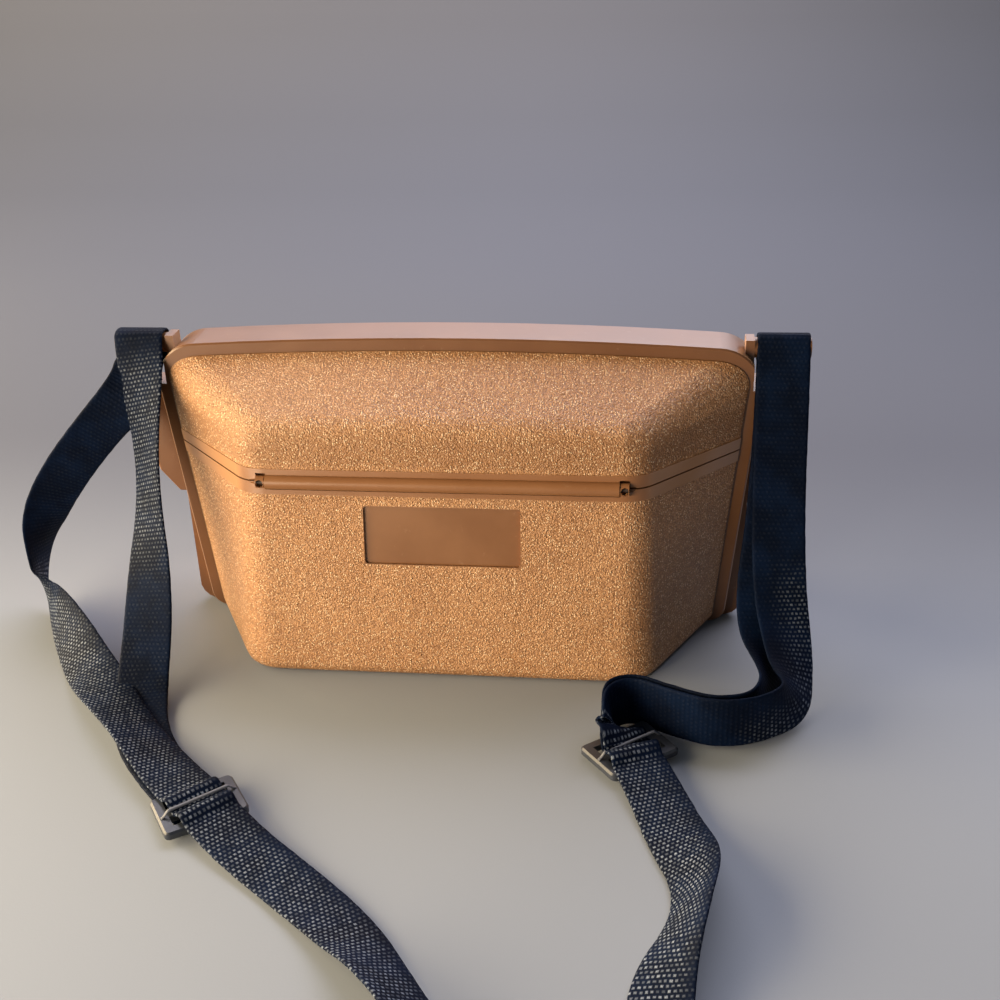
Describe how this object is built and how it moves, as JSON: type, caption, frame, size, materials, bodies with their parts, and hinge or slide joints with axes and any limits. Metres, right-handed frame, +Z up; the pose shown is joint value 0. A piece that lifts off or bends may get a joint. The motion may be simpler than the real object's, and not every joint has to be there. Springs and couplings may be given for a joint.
{
  "type": "camera_case",
  "caption": "Moulded hard camera case with a smooth raised band, a front-hinged lid, a sliding latch, foam lining and a navy webbing shoulder strap with two sliders",
  "frame": {"origin": "On the ground under the middle of the case, with the strap left out", "axes": "X runs along the case, to its right as seen from the front; Y runs from the hinged front to the back; Z is up"},
  "size_m": [0.3274, 0.3071, 0.1232],
  "materials": {
    "shell": "grained moulding with smooth edges",
    "steel": "plain",
    "knob": "satin",
    "foam": "soft napped foam",
    "slider": "satin",
    "webbing": "woven with cross ribs"
  },
  "bodies": {
    "case": {"rear_shell": "shell", "front_shell": "shell", "hinge_pin": "steel", "latch_guide": "steel", "guide_screw_1": "steel", "guide_screw_2": "steel", "guide_screw_3": "steel", "guide_screw_4": "steel", "base_pad": "foam", "back_pad": "foam", "front_pad": "foam", "divider": "foam", "left_slider": "slider", "right_slider": "slider", "strap_main": "webbing", "strap_left_tail": "webbing", "strap_right_tail": "webbing"},
    "lid": {"lid": "shell", "keeper": "steel", "keeper_screw_1": "steel", "keeper_screw_2": "steel", "lid_pad": "foam"},
    "latch": {"latch_bolt": "steel", "latch_knob": "knob"}
  },
  "joints": [
    {"name": "lid_hinge", "type": "hinge", "parent": "case", "child": "lid", "pos_m": [0, -0.0396, 0.079], "axis": [1, 0, 0], "range_deg": [0, 120]},
    {"name": "latch_slide", "type": "slide", "parent": "case", "child": "latch", "axis": [0, -1, 0], "range_m": [0, 0.006]}
  ]
}
